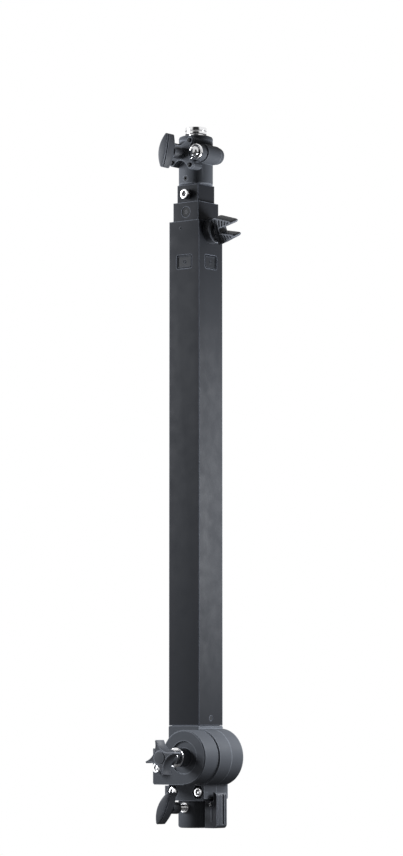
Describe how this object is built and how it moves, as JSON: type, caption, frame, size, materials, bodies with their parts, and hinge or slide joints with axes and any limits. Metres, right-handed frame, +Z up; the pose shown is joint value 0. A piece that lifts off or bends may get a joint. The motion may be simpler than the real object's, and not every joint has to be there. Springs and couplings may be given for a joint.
{
  "type": "telescopic post",
  "caption": "Square telescopic post that hangs from a spigot, with nested tubes, a clamp knob, a spring-reel housing with a friction brake, and a round locking socket at the foot.",
  "frame": {"origin": "centre of the spigot's top face, the face that the carriage holds", "axes": "+Z up along the tubes, -Y towards the front face with the T-knobs and the brake, +X towards the face with the clamp knob and the latch"},
  "size_m": [0.098, 0.131, 0.9139],
  "materials": {
    "tube": "charcoal powder coat, fine satin grain",
    "casting": "dark grey textured paint over die casting",
    "chrome": "polished plating",
    "steel": "bright zinc-plated steel",
    "black_steel": "blackened steel",
    "black_plastic": "black moulded nylon, satin",
    "grey_plastic": "dark grey acetal",
    "glide_plastic": "charcoal acetal",
    "spring_steel": "blued spring steel",
    "bronze": "sintered bronze",
    "lining": "brown friction lining"
  },
  "bodies": {
    "spigot": {"spigot": "chrome"},
    "head": {"top_socket": "casting", "top_plate": "casting", "plate_screw_1": "black_steel", "plate_screw_2": "black_steel", "plate_screw_3": "black_steel", "plate_screw_4": "black_steel", "top_t_washer": "chrome", "lock_ring": "chrome", "lock_spring": "spring_steel", "socket_grub_screw": "black_steel", "inner_tube": "tube", "inner_tube_screw": "steel", "inner_foot": "grey_plastic", "tape_clip": "steel", "tape_upper_run": "spring_steel"},
    "top_t_knob": {"top_t_knob": "black_plastic", "top_t_screw": "steel"},
    "lock_button": {"lock_button": "steel", "lock_bolt": "steel"},
    "middle": {"middle_tube": "tube", "middle_guide": "grey_plastic", "guide_screw": "black_steel", "middle_foot": "grey_plastic"},
    "outer": {"outer_tube": "tube", "glide_front": "glide_plastic", "glide_right": "glide_plastic", "glide_rear": "glide_plastic", "glide_left": "glide_plastic", "stop_rivet": "black_steel", "tube_screw": "black_steel", "clamp_boss": "black_plastic", "clamp_washer": "chrome", "housing_front": "casting", "housing_rear": "casting", "block_screw_left": "steel", "block_screw_right": "steel", "axle_bush": "bronze", "tape_lower_run": "spring_steel", "brake_casting": "casting", "brake_casting_screw": "steel", "brake_lining": "lining", "pressure_plate": "steel", "brake_spring": "spring_steel", "brake_washer": "chrome", "bottom_socket": "casting", "latch_pin": "steel", "latch_spring": "spring_steel", "bottom_t_washer": "chrome"},
    "clamp_knob": {"clamp_knob": "black_plastic", "clamp_screw": "steel"},
    "brake_knob": {"brake_knob": "black_plastic", "brake_screw": "steel"},
    "reel": {"reel": "grey_plastic", "wound_tape": "spring_steel", "reel_axle": "steel", "brake_plate": "steel"},
    "bottom_t_knob": {"bottom_t_knob": "black_plastic", "bottom_t_screw": "steel"},
    "latch": {"latch": "black_plastic"}
  },
  "joints": [
    {"name": "post_swivel", "type": "hinge", "parent": "spigot", "child": "head", "pos_m": [0, 0, -0.038], "axis": [0, 0, 1], "continuous": true},
    {"name": "middle_slide", "type": "slide", "parent": "head", "child": "middle", "axis": [0, 0, -1], "range_m": [0, 0.52], "deforming": ["tape_upper_run"]},
    {"name": "outer_slide", "type": "slide", "parent": "middle", "child": "outer", "axis": [0, 0, -1], "range_m": [0, 0.52], "deforming": ["tape_lower_run"]},
    {"name": "top_t_turn", "type": "hinge", "parent": "head", "child": "top_t_knob", "pos_m": [0, -0.054, -0.038], "axis": [0, -1, 0], "range_deg": [0, 720]},
    {"name": "lock_push", "type": "slide", "parent": "head", "child": "lock_button", "axis": [0, 1, 0], "range_m": [0, 0.006], "stiffness_N_per_m": 400, "springref_m": -0.002, "deforming": ["lock_spring"]},
    {"name": "clamp_turn", "type": "hinge", "parent": "outer", "child": "clamp_knob", "pos_m": [0.04, 0, -0.1387], "axis": [1, 0, 0], "range_deg": [0, 720]},
    {"name": "brake_turn", "type": "hinge", "parent": "outer", "child": "brake_knob", "pos_m": [0.0217, -0.09, -0.8232], "axis": [0, -1, 0], "range_deg": [-180, 360]},
    {"name": "reel_spin", "type": "hinge", "parent": "outer", "child": "reel", "pos_m": [0.0217, 0, -0.8232], "axis": [0, 1, 0], "range_deg": [0, 1380]},
    {"name": "bottom_t_turn", "type": "hinge", "parent": "outer", "child": "bottom_t_knob", "pos_m": [0, -0.054, -0.8879], "axis": [0, -1, 0], "range_deg": [0, 720]},
    {"name": "latch_swing", "type": "hinge", "parent": "outer", "child": "latch", "pos_m": [0.0318, 0, -0.8839], "axis": [0, -1, 0], "range_deg": [0, 12], "stiffness_Nm_per_rad": 0.6, "springref_deg": -8.59}
  ],
  "couplings": [
    {"joint": "reel_spin", "follows": "outer_slide", "rad_per_m": 46.083}
  ]
}
